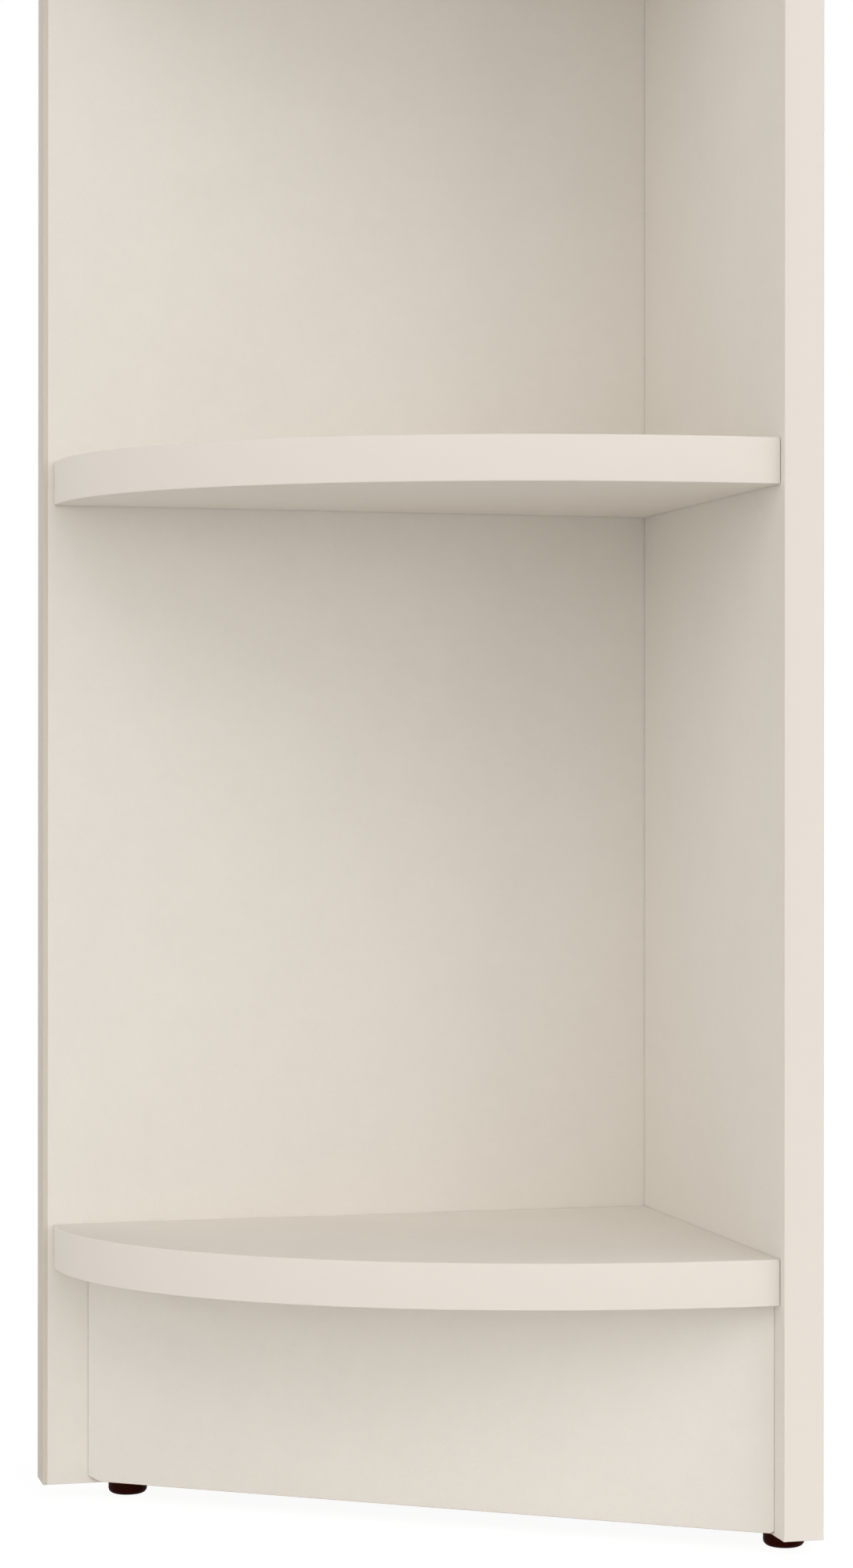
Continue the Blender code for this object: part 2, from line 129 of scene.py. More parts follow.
def new_material(name):
    """A material with its node tree, its Principled shader and its Object coordinates."""
    made = bpy.data.materials.new(name)
    made.use_nodes = True
    tree = made.node_tree
    place = add(tree, "ShaderNodeTexCoord").outputs["Object"]
    return made, tree, tree.nodes["Principled BSDF"], place


print("mid grey in linear light:", round(srgb("#808080")[0], 3))

# %% [markdown]
# ## Melamine-faced board
#
# The panels, shelves and plinth are chipboard pressed between two sheets of decor paper soaked in
# melamine resin. The press plate gives the resin a fine orange-peel grain, so the board reflects
# softly and never like glass. The real grain is finer and far shallower than a picture can show, so
# the bump draws it just under a millimetre wide and deeper than it is. The decor is one plain warm
# grey-beige with the slightest cloudiness: noise of every size, from six centimetres down to one
# millimetre, tints the colour by one or two parts in a hundred.

# %% Melamine
BOARD_COLOUR = "#ebe5dc"
BOARD_CLOUD = "#e2dcd3"
PRESS_GRAIN = 0.8 * MM           # drawn coarse, so that it shows
PRESS_DEPTH = 0.15 * MM          # and deep
CLOUD_SIZE = 60 * MM
CLOUD_HALVINGS = 6.0             # down to a millimetre


def melamine_board():
    made, tree, shader, place = new_material("melamine_faced_board")
    cloud = add(tree, "ShaderNodeTexNoise", {
        "Vector": place, "Scale": 1 / CLOUD_SIZE, "Detail": CLOUD_HALVINGS, "Roughness": 0.9})
    tint = add(tree, "ShaderNodeMix", {
        "Factor": cloud.outputs[0], COLOUR_A: srgb(BOARD_COLOUR),
        COLOUR_B: srgb(BOARD_CLOUD)}, data_type="RGBA")
    grain = add(tree, "ShaderNodeTexNoise", {"Vector": place, "Scale": 1 / PRESS_GRAIN, "Detail": 2.0})
    bump = add(tree, "ShaderNodeBump", {
        "Height": grain.outputs[0], "Strength": 1.0, "Distance": PRESS_DEPTH})
    fill(tree, shader, {"Base Color": tint.outputs[MIXED_COLOUR], "Normal": bump.outputs["Normal"],
                        "Roughness": 0.6, "Specular IOR Level": 0.15})
    return made


BOARD = melamine_board()
print("made", BOARD.name)

# %% [markdown]
# ## Plastic edge band
#
# The open edges of the boards wear a strip of coloured ABS, glued on and then shaved flush, with its
# outer edges rounded by the trimming cutter. It matches the board's colour but is a little smoother,
# and the scraper leaves faint lines along it. On the panels the band runs upright, so noise drawn out
# along Z gives those lines. Round the shelves the real lines follow the curve, but they are too fine to
# see there, so the same upright pattern serves. The left panel's edge faces left, away from most of
# the light, and reads as one darker and yellower stripe all the way up, so its band is a copy with
# that shade painted into its colour. The two differ in colour alone, and one function makes both.

# %% Edge band
BAND_COLOUR = "#e7dfd5"
# painted shade: a darker colour for the left panel's band, whose edge faces away from most of the light
SHADE_PAINTED_BAND_COLOUR = "#d0c7b9"
SCRAPE_WIDTH = 0.4 * MM
SCRAPE_LENGTH = 60 * MM
SCRAPE_DEPTH = 0.015 * MM
ALONG_X, ALONG_Z = 0, 2


def drawn_out(axis, width, length):
    """How much to scale X, Y and Z, so that a pattern is drawn out along one of them."""
    scale = [1 / width] * 3
    scale[axis] = 1 / length
    return scale


def edge_band(name, colour):
    made, tree, shader, place = new_material(name)
    upright = add(tree, "ShaderNodeMapping", {
        "Vector": place, "Scale": drawn_out(ALONG_Z, SCRAPE_WIDTH, SCRAPE_LENGTH)})
    lines = add(tree, "ShaderNodeTexNoise", {"Vector": upright.outputs[0], "Scale": 1.0, "Detail": 2.0})
    bump = add(tree, "ShaderNodeBump", {
        "Height": lines.outputs[0], "Strength": 0.25, "Distance": SCRAPE_DEPTH})
    fill(tree, shader, {"Base Color": srgb(colour), "Normal": bump.outputs["Normal"],
                        "Roughness": 0.55, "Specular IOR Level": 0.15})
    return made


BAND = edge_band("abs_edge_band", BAND_COLOUR)
# the same band with a darker colour, the shade on the left panel's edge painted in
SHADE_PAINTED_BAND = edge_band("plain_abs_edge_band", SHADE_PAINTED_BAND_COLOUR)
print("made", BAND.name, "and", SHADE_PAINTED_BAND.name)

# %% [markdown]
# ## Raw chipboard
#
# Where a board is sawn or drilled and nothing covers it, the chips show: pressed flakes of spruce and
# beech from one to three millimetres long, pale and dark side by side, with small pits between them.
# Cells of a Voronoi pattern stand for the flakes, and noise pushes their outlines about. A ramp through
# four wood tones colours each cell, and the distance inside the cell pits the surface.

# %% Chipboard
FLAKE_SIZE = 1.8 * MM
FLAKE_SHIFT = 2 * MM             # the most that an outline is pushed
FLAKE_PITS = 0.2 * MM
FLAKE_TONES = ["#8b6c48", "#b5915f", "#cfae7c", "#a07d52"]


def raw_chipboard():
    made, tree, shader, place = new_material("raw_chipboard")
    ragged = add(tree, "ShaderNodeTexNoise", {"Vector": place, "Scale": 1 / FLAKE_SIZE, "Detail": 3.0})
    shifted = add(tree, "ShaderNodeMix", {
        "Factor": FLAKE_SHIFT, VECTOR_A: place, VECTOR_B: ragged.outputs["Color"]}, data_type="VECTOR")
    flakes = add(tree, "ShaderNodeTexVoronoi", {
        "Vector": shifted.outputs[MIXED_VECTOR], "Scale": 1 / FLAKE_SIZE})
    tones = add(tree, "ShaderNodeValToRGB", {"Fac": flakes.outputs["Color"]})
    ramp = tones.color_ramp
    while len(ramp.elements) < len(FLAKE_TONES):
        ramp.elements.new(0.5)
    for number, code in enumerate(FLAKE_TONES):
        ramp.elements[number].position = number / len(FLAKE_TONES)
        ramp.elements[number].color = srgb(code)
    bump = add(tree, "ShaderNodeBump", {
        "Height": flakes.outputs["Distance"], "Strength": 0.6, "Distance": FLAKE_PITS}, invert=True)
    fill(tree, shader, {"Base Color": tones.outputs["Color"], "Normal": bump.outputs["Normal"],
                        "Roughness": 0.85})
    return made


CHIPBOARD = raw_chipboard()
print("made", CHIPBOARD.name)

# %% [markdown]
# ## Beech
#
# The dowels and the two glue blocks behind the plinth are bare steamed beech: pinkish tan, with a
# close straight grain and short darker flecks, the cut ends of its rays. The grain is noise drawn out
# along the wood, twenty times longer than it is wide, and the flecks are small drawn-out cells. Each
# piece has its grain along its own length, so the function takes that direction.

# %% Beech
BEECH_PALE = "#cfa47a"
BEECH_DARK = "#b5875c"
BEECH_FLECK = "#8f6138"
GRAIN_WIDTH = 0.9 * MM
GRAIN_LENGTH = 20 * MM
GRAIN_DEPTH = 0.05 * MM
FLECK_WIDTH = 0.7 * MM
FLECK_LENGTH = 3 * MM
FLECK_CORE, FLECK_RIM = 0.12, 0.22  # where a fleck starts to fade and where it ends, in cells
FLECK_STRENGTH = 0.7


def beech(name, axis):
    made, tree, shader, place = new_material(name)
    along = add(tree, "ShaderNodeMapping", {
        "Vector": place, "Scale": drawn_out(axis, GRAIN_WIDTH, GRAIN_LENGTH)})
    grain = add(tree, "ShaderNodeTexNoise", {"Vector": along.outputs[0], "Scale": 1.0, "Detail": 4.0})
    wood = add(tree, "ShaderNodeMix", {
        "Factor": grain.outputs[0], COLOUR_A: srgb(BEECH_PALE), COLOUR_B: srgb(BEECH_DARK)}, data_type="RGBA")
    rays = add(tree, "ShaderNodeMapping", {
        "Vector": place, "Scale": drawn_out(axis, FLECK_WIDTH, FLECK_LENGTH)})
    cells = add(tree, "ShaderNodeTexVoronoi", {"Vector": rays.outputs[0], "Scale": 1.0})
    fleck = add(tree, "ShaderNodeMapRange", {
        "Value": cells.outputs["Distance"], "From Min": FLECK_CORE, "From Max": FLECK_RIM,
        "To Min": FLECK_STRENGTH, "To Max": 0.0})
    both = add(tree, "ShaderNodeMix", {
        "Factor": fleck.outputs[0], COLOUR_A: wood.outputs[MIXED_COLOUR],
        COLOUR_B: srgb(BEECH_FLECK)}, data_type="RGBA")
    bump = add(tree, "ShaderNodeBump", {
        "Height": grain.outputs[0], "Strength": 0.3, "Distance": GRAIN_DEPTH})
    fill(tree, shader, {"Base Color": both.outputs[MIXED_COLOUR], "Normal": bump.outputs["Normal"],
                        "Roughness": 0.6})
    return made


BEECH_ALONG_X = beech("beech_grain_across", ALONG_X)
BEECH_ALONG_Z = beech("beech_grain_upright", ALONG_Z)
print("made", BEECH_ALONG_X.name, "and", BEECH_ALONG_Z.name)

# %% [markdown]
# ## Zinc-plated steel
#
# The screws and the glides' nails are steel with a thin bright zinc coat, blued a little and never
# quite even. A metal shows almost only what it reflects, so its colour is light and its roughness
# does the work: a noise of a few millimetres moves it between satin and dull.

# %% Zinc
ZINC_COLOUR = "#c9cccb"
ZINC_PATCH = 3 * MM
SATIN, DULL = 0.26, 0.42         # roughness
NOISE_LOW, NOISE_HIGH = 0.3, 0.7  # nearly all of a noise lies between these


def zinc_plated_steel():
    made, tree, shader, place = new_material("zinc_plated_steel")
    patches = add(tree, "ShaderNodeTexNoise", {"Vector": place, "Scale": 1 / ZINC_PATCH, "Detail": 3.0})
    dullness = add(tree, "ShaderNodeMapRange", {
        "Value": patches.outputs[0], "From Min": NOISE_LOW, "From Max": NOISE_HIGH,
        "To Min": SATIN, "To Max": DULL})
    fill(tree, shader, {"Base Color": srgb(ZINC_COLOUR), "Metallic": 1.0,
                        "Roughness": dullness.outputs[0]})
    return made


ZINC = zinc_plated_steel()
print("made", ZINC.name)

# %% [markdown]
# ## Moulded brown plastic
#
# The glides are moulded from a dark brown polythene, waxy and a touch uneven. They sit in the shade
# under the panels, so what the eye gets is their near-black colour and one soft light along the
# rounded foot. A noise of about a millimetre gives the skin its slight waviness, and the same noise
# moves the colour between nearly black and a deep red-brown.

# %% Glide plastic
GLIDE_DARK = "#1b0502"
GLIDE_BROWN = "#3a130a"
MOULD_GRAIN = 1.0 * MM
MOULD_DEPTH = 0.03 * MM


def brown_polythene():
    made, tree, shader, place = new_material("moulded_brown_polythene")
    skin = add(tree, "ShaderNodeTexNoise", {"Vector": place, "Scale": 1 / MOULD_GRAIN, "Detail": 2.0})
    tint = add(tree, "ShaderNodeMix", {
        "Factor": skin.outputs[0], COLOUR_A: srgb(GLIDE_DARK), COLOUR_B: srgb(GLIDE_BROWN)}, data_type="RGBA")
    bump = add(tree, "ShaderNodeBump", {
        "Height": skin.outputs[0], "Strength": 0.3, "Distance": MOULD_DEPTH})
    fill(tree, shader, {"Base Color": tint.outputs[MIXED_COLOUR], "Normal": bump.outputs["Normal"],
                        "Roughness": 0.5, "Specular IOR Level": 0.02})
    return made


GLIDE_PLASTIC = brown_polythene()
print("made", GLIDE_PLASTIC.name)

# %% [markdown]
# ## From a mesh to a piece
#
# Each finished piece is a plain mesh whose object sits at the origin, with its place in its mesh. It
# rides on the one body that the frame has, and it stands for the plain nodes that it replaces. Round
# faces are shaded smooth, and edges sharper than 35 degrees stay crisp.

# %% Finish a piece
SMOOTH_ANGLE = math.radians(35)


def piece(name, mesh, nodes, finishes=()):
    """Show a mesh as a piece of the unit, in place of some nodes of the frame."""
    for finish in finishes:
        mesh.materials.append(finish)
    mesh.shade_smooth()
    mesh.set_sharp_from_angle(angle=SMOOTH_ANGLE)
    made = bpy.data.objects.new(name, mesh)
    bpy.context.scene.collection.objects.link(made)
    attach(made, "root")
    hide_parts(*nodes)
    print(f"{name}: {len(mesh.polygons)} faces for {len(nodes)} node(s)")


def mesh_from(name, bm):
    """Turn a bmesh into a mesh with its faces pointing outwards."""
    bmesh.ops.recalc_face_normals(bm, faces=bm.faces)
    mesh = bpy.data.meshes.new(name)
    bm.to_mesh(mesh)
    bm.free()
    return mesh


print("edges sharper than", round(math.degrees(SMOOTH_ANGLE)), "degrees stay crisp")

# %% [markdown]
# ## Running a Geometry Nodes tree
#
# What repeats, or follows a curve by a rule, is made by a node tree. The tree has named inputs for its
# sizes. It runs on a small helper object, and the evaluated result is copied into a plain mesh, so
# nothing live is left behind. A modifier knows its inputs by their identifiers, so they are looked up
# from their names.

# %% Start a tree, and grow a mesh with it
def new_tree(name, sizes, others):
    """A Geometry Nodes tree with its inputs and outputs, ready for its nodes."""
    tree = bpy.data.node_groups.new(name, "GeometryNodeTree")
    tree.interface.new_socket("Geometry", in_out="INPUT", socket_type="NodeSocketGeometry")
    for label in sizes:
        tree.interface.new_socket(label, in_out="INPUT", socket_type="NodeSocketFloat")
    for label, kind in others:
        tree.interface.new_socket(label, in_out="INPUT", socket_type="NodeSocket" + kind)
    tree.interface.new_socket("Geometry", in_out="OUTPUT", socket_type="NodeSocketGeometry")
    return tree, add(tree, "NodeGroupInput").outputs


def finish_tree(tree, shape, finish):
    """End a tree: real geometry in place of instances, and its material."""
    real = add(tree, "GeometryNodeRealizeInstances", {"Geometry": shape})
    painted = add(tree, "GeometryNodeSetMaterial", {"Geometry": real.outputs[0], "Material": finish})
    add(tree, "NodeGroupOutput", {"Geometry": painted.outputs[0]})


def grow(name, tree, values, start=None):
    """Run a tree on a starting mesh and return the result as a plain mesh."""
    helper = bpy.data.objects.new(name + "_helper", start or bpy.data.meshes.new(name + "_start"))
    bpy.context.scene.collection.objects.link(helper)
    modifier = helper.modifiers.new("grow", "NODES")
    modifier.node_group = tree
    for item in tree.interface.items_tree:
        if item.in_out == "INPUT" and item.name in values:
            modifier[item.identifier] = values[item.name]
    evaluated = helper.evaluated_get(bpy.context.evaluated_depsgraph_get())
    mesh = bpy.data.meshes.new_from_object(evaluated)
    bpy.data.objects.remove(helper)
    mesh.name = name
    return mesh


print("helpers ready: new_tree, finish_tree and grow")

# %% [markdown]
# ## The quarter ellipse
#
# Every shelf is a quarter of an ellipse with its centre at the inside corner, so its rule is simple:
# take a quarter of a circle and stretch it along X and Y. The board inside the band is that outline
# drawn in by the band's thickness, at right angles to the curve. On an ellipse that direction isn't
# towards the centre: it is the gradient, each coordinate divided by the square of its half axis. The
# trees of the boards and of their bands end alike, so one function ends both.

# %% Draw an arc in from the ellipse
def elliptical_arc(tree, given, closed):
    """A quarter ellipse about the origin, drawn in by the inset, open or closed at its centre."""
    quarter = add(tree, "GeometryNodeCurveArc", {
        "Resolution": CURVE_STEPS + 1, "Radius": 1.0, "Start Angle": math.pi, "Sweep Angle": math.pi / 2,
        "Connect Center": closed})
    half_axes = add(tree, "ShaderNodeCombineXYZ", {
        "X": given["Half Width"], "Y": given["Half Depth"], "Z": 1.0})
    ellipse = add(tree, "GeometryNodeTransform", {
        "Geometry": quarter.outputs["Curve"], "Scale": half_axes.outputs[0]})
    squares = add(tree, "ShaderNodeVectorMath", {0: half_axes.outputs[0], 1: half_axes.outputs[0]},
                  operation="MULTIPLY")
    place = add(tree, "GeometryNodeInputPosition")
    gradient = add(tree, "ShaderNodeVectorMath", {0: place.outputs[0], 1: squares.outputs[0]},
                   operation="DIVIDE")
    outward = add(tree, "ShaderNodeVectorMath", {0: gradient.outputs[0]}, operation="NORMALIZE")
    inward = add(tree, "ShaderNodeMath", {0: given["Inset"], 1: -1.0}, operation="MULTIPLY")
    step = add(tree, "ShaderNodeVectorMath", {0: outward.outputs[0], "Scale": inward.outputs[0]},
               operation="SCALE")
    moved = add(tree, "GeometryNodeSetPosition", {
        "Geometry": ellipse.outputs[0], "Offset": step.outputs[0]})
    return moved.outputs[0]


def finish_at_corner(tree, given, shape):
    """End a shelf's tree: doubled corners merged, and the shape at the inside corner."""
    merged = add(tree, "GeometryNodeMergeByDistance", {"Geometry": shape, "Distance": MERGE_DISTANCE})
    placed = add(tree, "GeometryNodeTransform", {
        "Geometry": merged.outputs[0], "Translation": given["Corner"]})
    finish_tree(tree, placed.outputs[0], given["Finish"])


print("a shelf's curve is drawn in", CURVE_STEPS, "steps")

# %% [markdown]
# ## Shelf boards
#
# A shelf board is the closed outline, filled and raised to the board's thickness. Extrusion moves the
# filled face up and makes the sides, so a flipped copy of the flat face closes the underside, and the
# doubled rim is merged. The screws and the dowel go into its edges, so it is drilled afterwards like
# every other board.

# %% A tree for the boards
def shelf_board_tree():
    tree, given = new_tree("quarter_ellipse_board", ["Half Width", "Half Depth", "Inset", "Thickness"],
                           [("Corner", "Vector"), ("Finish", "Material")])
    outline = elliptical_arc(tree, given, True)
    flat = add(tree, "GeometryNodeFillCurve", {"Curve": outline}, mode="NGONS")
    raised = add(tree, "GeometryNodeExtrudeMesh", {
        "Mesh": flat.outputs[0], "Offset": (0, 0, 1), "Offset Scale": given["Thickness"],
        "Individual": False}, mode="FACES")
    under = add(tree, "GeometryNodeFlipFaces", {"Mesh": flat.outputs[0]})
    both = add(tree, "GeometryNodeJoinGeometry", {"Geometry": raised.outputs["Mesh"]})
    tree.links.new(under.outputs[0], both.inputs[0])
    finish_at_corner(tree, given, both.outputs[0])
    return tree


SHELF_BOARD = shelf_board_tree()
print("nodes in the board's tree:", len(SHELF_BOARD.nodes))

# %% [markdown]
# ## Drilling
#
# Hidden screws, dowels and nails need their holes. A hole is a turned shape, given as radius and depth
# along its axis, and the same shape is put at every place where a board takes that kind of fastener.
# One exact Boolean cuts them all. The holes' walls are raw chipboard, so the cutter carries that
# material into the cut.

# %% Turn a profile, and cut holes
def turned(bm, profile, spot, axis):
    """Turn (radius, height) points about an axis through a spot; both ends are closed flat."""
    turn = Vector(axis).to_track_quat("Z", "Y")
    angles = [math.tau * side / ROUND_SIDES for side in range(ROUND_SIDES)]
    rings = []
    for radius, height in profile:
        ring = [Vector((radius * math.cos(a), radius * math.sin(a), height)) for a in angles]
        rings.append([bm.verts.new(Vector(spot) + turn @ place) for place in ring])
    bm.faces.new(list(reversed(rings[0])))
    bm.faces.new(rings[-1])
    for lower, upper in zip(rings, rings[1:]):
        for side in range(ROUND_SIDES):
            after = (side + 1) % ROUND_SIDES
            bm.faces.new((lower[side], lower[after], upper[after], upper[side]))


def drilled(mesh, holes):
    """Cut a bmesh of holes out of a board's mesh, and keep the result as a plain mesh."""
    board = bpy.data.objects.new(mesh.name + "_board", mesh)
    bit = bpy.data.objects.new(mesh.name + "_bit", mesh_from(mesh.name + "_bit", holes))
    bit.data.materials.append(CHIPBOARD)
    for helper in (board, bit):
        bpy.context.scene.collection.objects.link(helper)
    cut = board.modifiers.new("drilling", "BOOLEAN")
    cut.solver = "EXACT"
    cut.material_mode = "TRANSFER"
    cut.object = bit
    evaluated = board.evaluated_get(bpy.context.evaluated_depsgraph_get())
    made = bpy.data.meshes.new_from_object(evaluated)
    made.name = mesh.name
    bpy.data.objects.remove(board)
    bpy.data.objects.remove(bit)
    return made


print("turned shapes have", ROUND_SIDES, "sides")

# %% [markdown]
# ## Where the fasteners are
#
# A screw's axis is the long side of its node's box, and its head is at the end that touches the
# panel's outer face: +Y for the left panel, +X for the right one. A dowel's axis is the long side of
# its box too. Reading them from the frame keeps every hole in line with its fastener.

# %% Read the fasteners' places
def ends(node):
    """The two ends of a long thin node, on its axis, with the higher coordinate first."""
    low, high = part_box(node)
    size = high - low
    axis = max(range(3), key=lambda number: size[number])
    direction = Vector((0, 0, 0))
    direction[axis] = 1.0
    middle = (low + high) / 2
    return middle + direction * size[axis] / 2, middle - direction * size[axis] / 2, direction


NODES = sorted(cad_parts)
SCREWS = [name for name in NODES if "screw" in name]
DOWELS = [name for name in NODES if "dowel" in name]
PLINTH_DOWELS = [name for name in DOWELS if name.startswith("plinth")]
SHELF_DOWELS = [name for name in DOWELS if name not in PLINTH_DOWELS]
GLIDES = [name for name in NODES if name.startswith("glide")]
print(len(SCREWS), "screws,", len(DOWELS), "dowels,", len(GLIDES), "glides")

# %% [markdown]
# ## The shapes of the holes
#
# A one-piece connector is a countersunk screw for chipboard: a 7 mm shank in the panel and a coarse
# thread in the other board's edge. Its hole is stepped like it, a little larger. Dowels sit in plain
# round holes, and the glides' nails in thin ones. One function drills any board for all three.

# %% Hole profiles
SCREW_LENGTH = 50 * MM
HEAD_RADIUS = 5 * MM
HEAD_TAPER = 2.5 * MM
SHANK_RADIUS = 3.5 * MM
SHANK_LENGTH = 12 * MM
THREAD_RADIUS = 3.25 * MM
CORE_RADIUS = 2.4 * MM
TIP_LENGTH = 4 * MM
CLEARANCE = 0.1 * MM
DOWEL_RADIUS = 4 * MM
NAIL_RADIUS = 1.25 * MM
NAIL_LENGTH = 16 * MM
BLIND_EXTRA = 1 * MM             # a hole is deeper than its fastener, and the bit starts outside

SCREW_HOLE = [
    (THREAD_RADIUS + CLEARANCE, -SCREW_LENGTH - BLIND_EXTRA),
    (THREAD_RADIUS + CLEARANCE, -PANEL_THICKNESS),
    (SHANK_RADIUS + CLEARANCE, -PANEL_THICKNESS),
    (SHANK_RADIUS + CLEARANCE, -HEAD_TAPER),
    (HEAD_RADIUS + CLEARANCE, 0.0),
    (HEAD_RADIUS + CLEARANCE, BLIND_EXTRA),
]


def screw_holes(bm, names):
    for name in names:
        head, _, direction = ends(name)
        turned(bm, SCREW_HOLE, head, direction)


def dowel_holes(bm, names):
    radius = DOWEL_RADIUS + CLEARANCE
    for name in names:
        high, low, direction = ends(name)
        reach = (high - low).length / 2 + BLIND_EXTRA
        turned(bm, [(radius, -reach), (radius, reach)], (high + low) / 2, direction)


def nail_holes(bm, names):
    radius = NAIL_RADIUS + CLEARANCE
    for name in names:
        low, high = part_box(name)
        spot = ((low.x + high.x) / 2, (low.y + high.y) / 2, left_low.z)
        turned(bm, [(radius, -BLIND_EXTRA), (radius, NAIL_LENGTH + BLIND_EXTRA)], spot, (0, 0, 1))


def drill_and_show(name, board, node, screws, dowels, glides=()):
    """Drill a board for its fasteners, and show it in place of its node."""
    holes = bmesh.new()
    screw_holes(holes, screws)
    dowel_holes(holes, dowels)
    nail_holes(holes, glides)
    piece(name, drilled(board, holes), [node])


print("a screw's hole is", round((SCREW_LENGTH + BLIND_EXTRA) / MM, 1), "mm deep")

# %% [markdown]
# ## The shelves
#
# The half axes come from the band's box, because the band is the outside of the shelf. Each board is
# grown from the tree, drilled for its three screws and its dowel, and the base shelf also for the
# plinth's two dowels.

# %% Grow and drill the shelf boards
def fasteners_of(shelf):
    screws = [name for name in SCREWS if name.startswith(shelf + "_")]
    dowels = [name for name in DOWELS if name.startswith(shelf + "_")]
    if shelf == "base_shelf":
        dowels += PLINTH_DOWELS
    return screws, dowels


def ellipse_sizes(shelf):
    low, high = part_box(shelf + "_edge_band")
    return {"Half Width": high.x - low.x, "Half Depth": high.y - low.y,
            "Corner": (high.x, high.y, low.z)}


for shelf in SHELVES:
    low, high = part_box(shelf)
    sizes = ellipse_sizes(shelf)
    sizes |= {"Inset": SHELF_BAND_THICKNESS + HAIRLINE, "Thickness": high.z - low.z, "Finish": BOARD}
    board = grow(shelf + "_board", SHELF_BOARD, sizes)
    drill_and_show(shelf + "_board", board, shelf, *fasteners_of(shelf))

# %% [markdown]
# ## The shelves' bands
#
# The band follows the same curve, so its section is carried along it: a strip as high as the board,
# with its two outer edges rounded. The path runs down the middle of the strip. Curve to Mesh lays the
# section's X along the curve's normal, and with the normals kept level that is the direction out of
# the board.

# %% A tree for the curved bands
def shelf_band_tree():
    tree, given = new_tree("curved_edge_band",
                           ["Half Width", "Half Depth", "Inset", "Thickness", "Height", "Radius"],
                           [("Corner", "Vector"), ("Finish", "Material")])
    path = elliptical_arc(tree, given, False)
    level = add(tree, "GeometryNodeSetCurveNormal", {"Curve": path}, mode="Z_UP")
    strip = add(tree, "GeometryNodeCurvePrimitiveQuadrilateral", {
        "Width": given["Thickness"], "Height": given["Height"]})
    corner = add(tree, "GeometryNodeInputPosition")
    place = add(tree, "ShaderNodeSeparateXYZ", {"Vector": corner.outputs[0]})
    outer = add(tree, "ShaderNodeMath", {0: place.outputs["X"], 1: 0.0}, operation="GREATER_THAN")
    radius = add(tree, "ShaderNodeMath", {0: outer.outputs[0], 1: given["Radius"]}, operation="MULTIPLY")
    rounded = add(tree, "GeometryNodeFilletCurve", {
        "Curve": strip.outputs[0], "Count": ROUNDING_STEPS, "Radius": radius.outputs[0]}, mode="POLY")
    swept = add(tree, "GeometryNodeCurveToMesh", {
        "Curve": level.outputs[0], "Profile Curve": rounded.outputs[0], "Fill Caps": True})
    finish_at_corner(tree, given, swept.outputs[0])
    return tree


SHELF_BAND = shelf_band_tree()
for shelf in SHELVES:
    low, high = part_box(shelf + "_edge_band")
    sizes = ellipse_sizes(shelf)
    sizes["Corner"] = (high.x, high.y, (low.z + high.z) / 2)
    sizes |= {"Inset": SHELF_BAND_THICKNESS / 2, "Thickness": SHELF_BAND_THICKNESS,
              "Height": high.z - low.z, "Radius": SHELF_BAND_RADIUS, "Finish": BAND}
    piece(shelf + "_band", grow(shelf + "_band", SHELF_BAND, sizes), [shelf + "_edge_band"])

# %% [markdown]
# ## The panels
#
# A panel is a long box. Its sawn edges are broken by a seventh of a millimetre, as a pass of fine
# sandpaper leaves them, and that is what draws the thin line where a board meets its band. The lower
# end stays raw chipboard, and so do the edges that a band or the other panel covers. The left panel
# takes the screws that look backwards, the right one those that look sideways, the shelves' dowels and
# the four corner screws in its rear edge.

# %% Straight boards, and the two panels
def box_between(low, high):
    """A bmesh box from its lowest corner to its highest."""
    bm = bmesh.new()
    bmesh.ops.create_cube(bm, size=1.0)
    bmesh.ops.scale(bm, vec=high - low, verts=bm.verts)
    bmesh.ops.translate(bm, vec=(low + high) / 2, verts=bm.verts)
    return bm


def sawn_board(name, bm, is_raw):
    """Break a board's edges, and leave the faces bare whose normal is_raw picks."""
    bmesh.ops.bevel(bm, geom=bm.edges[:], offset=EDGE_BREAK, segments=1, affect="EDGES")
    bm.normal_update()
    for face in bm.faces:
        face.material_index = 1 if is_raw(face.normal) else 0
    mesh = mesh_from(name, bm)
    mesh.materials.append(BOARD)
    mesh.materials.append(CHIPBOARD)
    return mesh


FACING = 0.9                     # a unit normal with more than this along an axis faces that way
BACKWARDS = [name for name in SCREWS if ends(name)[2].y > FACING]
SIDEWAYS = [name for name in SCREWS if ends(name)[2].x > FACING]
left_band_low, left_band_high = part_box("left_panel_edge_band")
right_band_low, right_band_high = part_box("right_panel_edge_band")

start = Vector((left_band_high.x + HAIRLINE, left_low.y, left_low.z))
board = sawn_board("left_panel_board", box_between(start, left_high),
                   lambda normal: normal.z < -FACING or normal.x < -FACING)
drill_and_show("left_panel_board", board, "left_panel", BACKWARDS, [],
               [name for name in GLIDES if "left" in name])

start = Vector((right_low.x, right_band_high.y + HAIRLINE, right_low.z))
board = sawn_board("right_panel_board", box_between(start, right_high),
                   lambda normal: normal.z < -FACING or abs(normal.y) > FACING)
drill_and_show("right_panel_board", board, "right_panel",
               SIDEWAYS + [name for name in BACKWARDS if name.startswith("corner")], SHELF_DOWELS,
               [name for name in GLIDES if "right" in name])

# %% [markdown]
# ## The panels' bands
#
# These bands are thicker, two millimetres of plastic, and all four edges of the outer face are rounded
# by the cutter. The left panel wears the band with painted shade: the whole strip is one darker colour,
# so the side that looks to the front is as dark as its end face.

# %% Straight bands
ROUND_PROFILE = 0.5              # Bevel's setting for a true arc


def straight_band(name, low, high, outward, finish):
    bm = box_between(low, high)
    outer = max(bm.faces, key=lambda face: face.calc_center_median().dot(Vector(outward)))
    bmesh.ops.bevel(bm, geom=list(outer.edges), offset=PANEL_BAND_RADIUS, segments=ROUNDING_STEPS,
                    profile=ROUND_PROFILE, affect="EDGES")
    piece(name, mesh_from(name, bm), [name.replace("_band", "_edge_band")], [finish])
